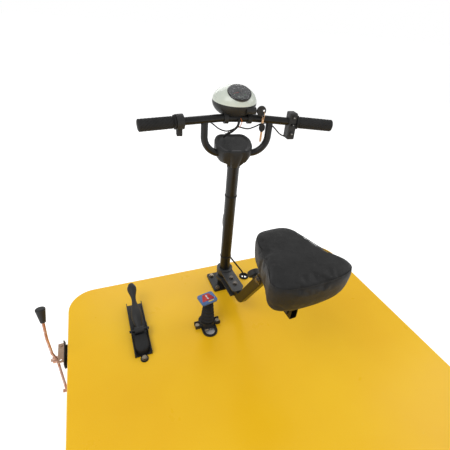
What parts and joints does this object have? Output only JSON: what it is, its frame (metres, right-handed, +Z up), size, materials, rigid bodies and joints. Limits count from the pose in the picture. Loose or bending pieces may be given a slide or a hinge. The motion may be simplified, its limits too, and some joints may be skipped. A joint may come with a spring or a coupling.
{
  "type": "electric flatbed cart",
  "caption": "Ride-on electric flatbed cart with a sheet-steel deck, steering column, handlebar, swing-out saddle on a cranked arm, and hand levers.",
  "frame": {"origin": "point on the ground under the vertical steering axis, where the front tyre touches", "axes": "+X to the rider's right, +Y forward, +Z up"},
  "size_m": [1.358, 2.0658, 1.4],
  "materials": {
    "deck_paint": "gloss",
    "black_paint": "semi-gloss",
    "plate_paint": "satin",
    "black_rubber": "matt",
    "saddle_cover": "fine grain",
    "moulded_plastic": "fine texture",
    "pod_plastic": "gloss",
    "dial_face": "printed",
    "lamp_glass": "clear",
    "blue_plate": "gloss",
    "zinc": "passivated",
    "copper_zinc": "passivated",
    "bolt_steel": "plated",
    "key_steel": "polished",
    "tyre_rubber": "matt",
    "battery_case": "satin",
    "alloy": "cast",
    "spring_steel": "oiled"
  },
  "bodies": {
    "chassis": {"deck_plate": "deck_paint", "side_rails": "black_paint", "cross_members": "black_paint", "steering_head": "black_paint", "bearings": "bolt_steel", "column_tube": "black_paint", "deck_bolts": "bolt_steel", "column_grommet": "black_rubber", "slot_trim": "black_rubber", "column_cable": "black_rubber", "battery_tray": "black_paint", "battery_pack": "battery_case", "motor_controller": "alloy", "charge_socket": "moulded_plastic", "rear_axle_housing": "spring_steel", "drive_motor": "alloy", "leaf_springs": "spring_steel", "gear_housing": "moulded_plastic", "gear_bellows": "black_rubber", "gear_gate": "zinc", "brake_tray": "black_paint", "brake_boot": "black_rubber", "side_bracket": "deck_paint", "side_strip": "zinc"},
    "steering": {"front_fork": "black_paint", "front_axle": "bolt_steel", "stem_cover": "moulded_plastic", "u_handle": "black_paint", "handlebar": "black_paint", "right_grip": "black_rubber", "throttle_housing": "moulded_plastic", "switch_housing": "moulded_plastic", "pod_shell": "pod_plastic", "pod_base": "moulded_plastic", "dial": "dial_face", "headlight": "lamp_glass", "bar_cables": "black_rubber"},
    "front_wheel": {"front_rim": "alloy", "front_tyre": "tyre_rubber"},
    "left_wheel": {"left_rim": "alloy", "left_tyre": "tyre_rubber"},
    "right_wheel": {"right_rim": "alloy", "right_tyre": "tyre_rubber"},
    "throttle": {"throttle_grip": "black_rubber"},
    "horn": {"horn_button": "moulded_plastic"},
    "lamp": {"lamp_button": "moulded_plastic"},
    "slider": {"light_slider": "moulded_plastic"},
    "key": {"ignition_key": "moulded_plastic"},
    "hanging_key": {"spare_key": "key_steel"},
    "seat": {"seat_bracket": "plate_paint", "seat_arm": "black_paint", "seat_bolts": "bolt_steel", "saddle": "saddle_cover", "saddle_pan": "moulded_plastic"},
    "arm_knob": {"seat_knob": "moulded_plastic"},
    "gear": {"gear_lever": "bolt_steel", "gear_plate": "blue_plate"},
    "park_lever": {"brake_lever": "moulded_plastic"},
    "side_rod": {"side_lever": "copper_zinc", "side_knob": "moulded_plastic"}
  },
  "joints": [
    {"name": "steering_turn", "type": "hinge", "parent": "chassis", "child": "steering", "pos_m": [0, 0, 0.5], "axis": [0, 0, 1], "range_deg": [-32, 48]},
    {"name": "front_wheel_spin", "type": "hinge", "parent": "steering", "child": "front_wheel", "pos_m": [0, 0, 0.2], "axis": [0.9903, -0.1392, 0], "continuous": true},
    {"name": "left_wheel_spin", "type": "hinge", "parent": "chassis", "child": "left_wheel", "pos_m": [-0.56, -1.4, 0.225], "axis": [1, 0, 0], "continuous": true},
    {"name": "right_wheel_spin", "type": "hinge", "parent": "chassis", "child": "right_wheel", "pos_m": [0.56, -1.4, 0.225], "axis": [1, 0, 0], "continuous": true},
    {"name": "throttle_twist", "type": "hinge", "parent": "steering", "child": "throttle", "pos_m": [-0.2676, 0.00004, 1.29429], "axis": [0.9983, 0.0398, 0.0418], "range_deg": [0, 75], "stiffness_Nm_per_rad": 0.3},
    {"name": "horn_press", "type": "slide", "parent": "steering", "child": "horn", "axis": [0.1392, 0.9903, 0], "range_m": [0, 0.0025], "stiffness_N_per_m": 250},
    {"name": "lamp_press", "type": "slide", "parent": "steering", "child": "lamp", "axis": [0.1392, 0.9903, 0], "range_m": [0, 0.0025], "stiffness_N_per_m": 250},
    {"name": "light_switch_slide", "type": "slide", "parent": "steering", "child": "slider", "axis": [0.9903, -0.1392, 0], "range_m": [-0.0035, 0.0035]},
    {"name": "key_turn", "type": "hinge", "parent": "steering", "child": "key", "pos_m": [0.05608, -0.03212, 1.333], "axis": [0.9903, -0.1392, 0], "range_deg": [-90, 0]},
    {"name": "spare_key_swing", "type": "hinge", "parent": "key", "child": "hanging_key", "pos_m": [0.07687, -0.03504, 1.3303], "axis": [0.1392, 0.9903, 0], "range_deg": [-15, 15]},
    {"name": "seat_swing", "type": "hinge", "parent": "chassis", "child": "seat", "pos_m": [0, 0, 0.648], "axis": [0, 0, 1], "range_deg": [-22, 55]},
    {"name": "arm_knob_turn", "type": "hinge", "parent": "seat", "child": "arm_knob", "pos_m": [0.01022, -0.23409, 0.81781], "axis": [-0.038, 0.8695, 0.4924], "range_deg": [0, 270]},
    {"name": "gear_select", "type": "hinge", "parent": "chassis", "child": "gear", "pos_m": [-0.144, -0.198, 0.577], "axis": [1, 0, 0], "range_deg": [-8, 8], "deforming": ["gear_bellows"]},
    {"name": "park_brake_pull", "type": "hinge", "parent": "chassis", "child": "park_lever", "pos_m": [-0.4, -0.165, 0.585], "axis": [1, 0, 0], "range_deg": [0, 45]},
    {"name": "side_lever_swing", "type": "hinge", "parent": "chassis", "child": "side_rod", "pos_m": [-0.69, -0.152, 0.524], "axis": [1, 0, 0], "range_deg": [-10, 25]}
  ]
}
